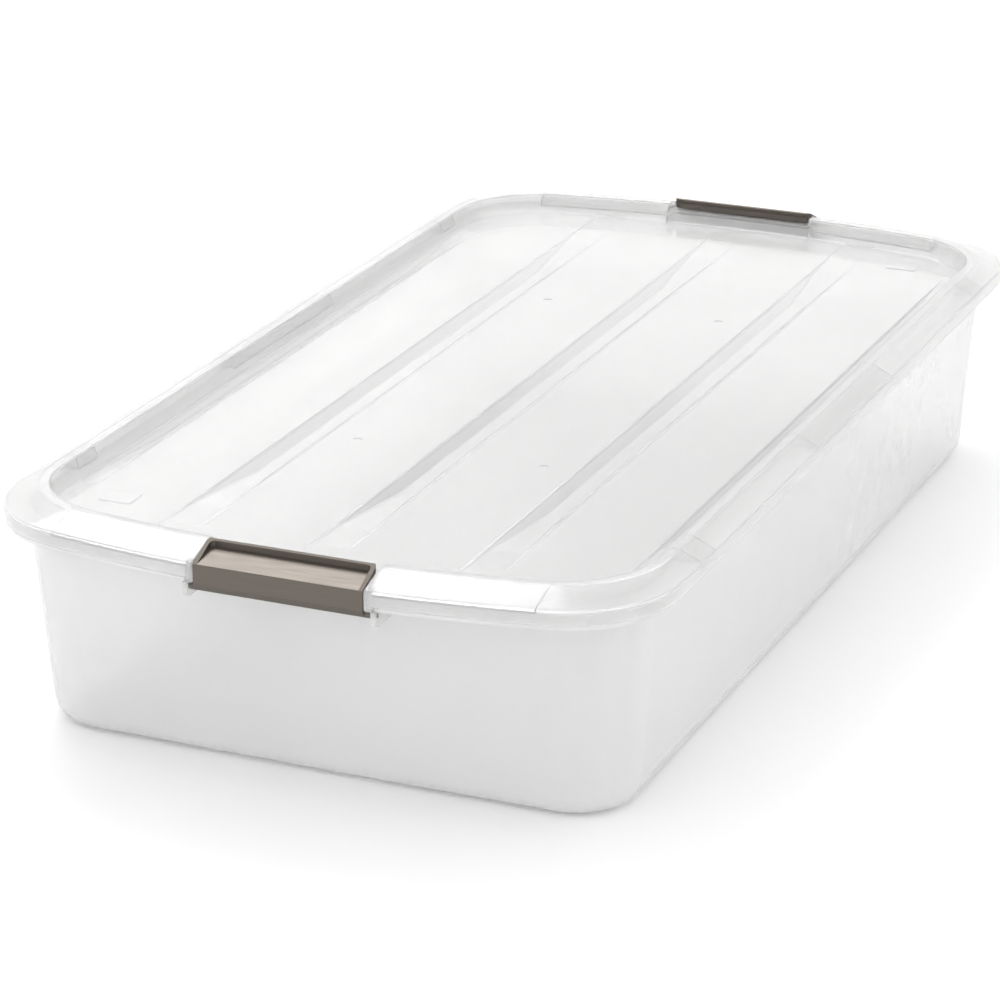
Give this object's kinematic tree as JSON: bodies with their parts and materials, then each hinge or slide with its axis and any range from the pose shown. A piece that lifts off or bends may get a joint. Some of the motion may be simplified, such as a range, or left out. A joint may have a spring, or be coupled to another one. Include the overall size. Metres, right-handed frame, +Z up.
{
  "type": "under bed storage box",
  "caption": "Long, low, clear plastic storage box for use under a bed, with a fluted lift-off lid held by a folding latch at each end.",
  "frame": {"origin": "centre of the flat base, at floor level", "axes": "+Z up, Y along the length with the front latch at -Y, X across the width"},
  "size_m": [0.432, 0.8112, 0.1524],
  "materials": {
    "clear_tub": "lightly frosted, see-through polypropylene",
    "clear_lid": "glossy, see-through polypropylene",
    "latch_grey": "satin warm grey plastic with a slight metallic sheen"
  },
  "bodies": {
    "tub": {"tub": "clear_tub"},
    "lid": {"lid": "clear_lid"},
    "latch_front": {"latch_front": "latch_grey"},
    "latch_rear": {"latch_rear": "latch_grey"}
  },
  "joints": [
    {"name": "lid_lift", "type": "slide", "parent": "tub", "child": "lid", "axis": [0, 0, 1], "range_m": [0, 0.015]},
    {"name": "latch_front_swing", "type": "hinge", "parent": "tub", "child": "latch_front", "pos_m": [0, -0.4005, 0.128], "axis": [1, 0, 0], "range_deg": [0, 130]},
    {"name": "latch_rear_swing", "type": "hinge", "parent": "tub", "child": "latch_rear", "pos_m": [0, 0.4005, 0.128], "axis": [-1, 0, 0], "range_deg": [0, 130]}
  ],
  "couplings": [
    {"joint": "latch_front_swing", "follows": "lid_lift", "rad_per_m": 151},
    {"joint": "latch_rear_swing", "follows": "lid_lift", "rad_per_m": 151}
  ]
}
